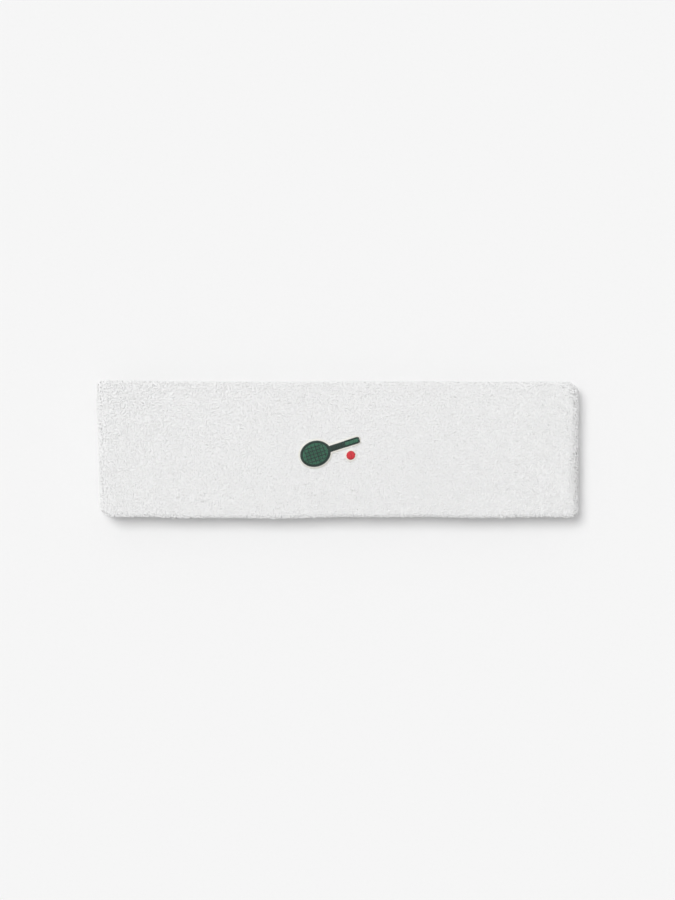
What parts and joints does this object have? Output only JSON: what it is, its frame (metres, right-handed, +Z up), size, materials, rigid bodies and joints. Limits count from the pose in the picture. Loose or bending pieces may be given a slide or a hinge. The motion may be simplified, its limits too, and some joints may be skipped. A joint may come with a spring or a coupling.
{
  "type": "sports headband",
  "caption": "Soft terry headband for racket sports, lying flat as a folded loop, with an embroidered racket and ball emblem at the front; the loop opens from flat to round.",
  "frame": {"origin": "centre of the ground face, under the closing seam at centre back", "axes": "+X along the band to the wearer's left when the front faces up, +Y across the width, +Z up from the back wall through the front wall with the emblem"},
  "size_m": [0.19, 0.054, 0.0121],
  "materials": {
    "terry_white": "matt white terry knit",
    "elastic_white": "woven elastic, off-white",
    "thread_white": "white sewing thread",
    "felt_cream": "matt cream backing",
    "thread_green": "green satin stitch",
    "thread_dark_green": "dark green satin stitch",
    "thread_red": "red satin stitch"
  },
  "bodies": {
    "back_centre": {"sleeve_back_centre_right": "terry_white", "sleeve_back_centre_left": "terry_white", "core_back_centre_right": "elastic_white", "core_back_centre_left": "elastic_white", "seam_ridge": "terry_white", "seam_thread": "thread_white"},
    "back_inner_right": {"sleeve_back_inner_right": "terry_white", "core_back_inner_right": "elastic_white"},
    "back_outer_right": {"sleeve_back_outer_right": "terry_white", "core_back_outer_right": "elastic_white"},
    "fold_right": {"sleeve_fold_right": "terry_white", "core_fold_right": "elastic_white"},
    "front_outer_right": {"sleeve_front_outer_right": "terry_white", "core_front_outer_right": "elastic_white"},
    "front_inner_right": {"sleeve_front_inner_right": "terry_white", "core_front_inner_right": "elastic_white"},
    "front_centre_right": {"sleeve_front_centre_right": "terry_white", "core_front_centre_right": "elastic_white", "emblem_backing": "felt_cream", "emblem_racket_outline": "thread_dark_green", "emblem_racket_strings": "thread_green", "emblem_racket_grip": "thread_green", "emblem_ball_backing": "felt_cream", "emblem_ball": "thread_red"},
    "back_inner_left": {"sleeve_back_inner_left": "terry_white", "core_back_inner_left": "elastic_white"},
    "back_outer_left": {"sleeve_back_outer_left": "terry_white", "core_back_outer_left": "elastic_white"},
    "fold_left": {"sleeve_fold_left": "terry_white", "core_fold_left": "elastic_white"},
    "front_outer_left": {"sleeve_front_outer_left": "terry_white", "core_front_outer_left": "elastic_white"},
    "front_inner_left": {"sleeve_front_inner_left": "terry_white", "core_front_inner_left": "elastic_white"},
    "front_centre_left": {"sleeve_front_centre_left": "terry_white", "core_front_centre_left": "elastic_white"}
  },
  "joints": [
    {"name": "open_back_inner_right", "type": "hinge", "parent": "back_centre", "child": "back_inner_right", "pos_m": [0.02, 0, 0.0055], "axis": [0, -1, 0], "range_deg": [0, 38]},
    {"name": "open_back_outer_right", "type": "hinge", "parent": "back_inner_right", "child": "back_outer_right", "pos_m": [0.055, 0, 0.0055], "axis": [0, -1, 0], "range_deg": [0, 35]},
    {"name": "open_fold_right", "type": "hinge", "parent": "back_outer_right", "child": "fold_right", "pos_m": [0.08935, 0, 0.0055], "axis": [0, -1, 0], "range_deg": [-73, 0], "deforming": ["sleeve_fold_right", "core_fold_right"]},
    {"name": "open_front_outer_right", "type": "hinge", "parent": "fold_right", "child": "front_outer_right", "pos_m": [0.08935, 0, 0.0055], "axis": [0, -1, 0], "range_deg": [-73, 0]},
    {"name": "open_front_inner_right", "type": "hinge", "parent": "front_outer_right", "child": "front_inner_right", "pos_m": [0.055, 0, 0.0055], "axis": [0, -1, 0], "range_deg": [0, 35]},
    {"name": "open_front_centre_right", "type": "hinge", "parent": "front_inner_right", "child": "front_centre_right", "pos_m": [0.02, 0, 0.0055], "axis": [0, -1, 0], "range_deg": [0, 38]},
    {"name": "open_back_inner_left", "type": "hinge", "parent": "back_centre", "child": "back_inner_left", "pos_m": [-0.02, 0, 0.0055], "axis": [0, 1, 0], "range_deg": [0, 38]},
    {"name": "open_back_outer_left", "type": "hinge", "parent": "back_inner_left", "child": "back_outer_left", "pos_m": [-0.055, 0, 0.0055], "axis": [0, 1, 0], "range_deg": [0, 35]},
    {"name": "open_fold_left", "type": "hinge", "parent": "back_outer_left", "child": "fold_left", "pos_m": [-0.08935, 0, 0.0055], "axis": [0, 1, 0], "range_deg": [-73, 0], "deforming": ["sleeve_fold_left", "core_fold_left"]},
    {"name": "open_front_outer_left", "type": "hinge", "parent": "fold_left", "child": "front_outer_left", "pos_m": [-0.08935, 0, 0.0055], "axis": [0, 1, 0], "range_deg": [-73, 0]},
    {"name": "open_front_inner_left", "type": "hinge", "parent": "front_outer_left", "child": "front_inner_left", "pos_m": [-0.055, 0, 0.0055], "axis": [0, 1, 0], "range_deg": [0, 35]},
    {"name": "open_front_centre_left", "type": "hinge", "parent": "front_inner_left", "child": "front_centre_left", "pos_m": [-0.02, 0, 0.0055], "axis": [0, 1, 0], "range_deg": [0, 38]}
  ],
  "couplings": [
    {"joint": "open_back_outer_right", "follows": "open_back_inner_right", "ratio": 0.92105},
    {"joint": "open_fold_right", "follows": "open_back_inner_right", "ratio": -1.921},
    {"joint": "open_front_outer_right", "follows": "open_back_inner_right", "ratio": -1.921},
    {"joint": "open_front_inner_right", "follows": "open_back_inner_right", "ratio": 0.92105},
    {"joint": "open_front_centre_right", "follows": "open_back_inner_right", "ratio": 1},
    {"joint": "open_back_inner_left", "follows": "open_back_inner_right", "ratio": 1},
    {"joint": "open_back_outer_left", "follows": "open_back_inner_right", "ratio": 0.92105},
    {"joint": "open_fold_left", "follows": "open_back_inner_right", "ratio": -1.921},
    {"joint": "open_front_outer_left", "follows": "open_back_inner_right", "ratio": -1.921},
    {"joint": "open_front_inner_left", "follows": "open_back_inner_right", "ratio": 0.92105},
    {"joint": "open_front_centre_left", "follows": "open_back_inner_right", "ratio": 1}
  ]
}
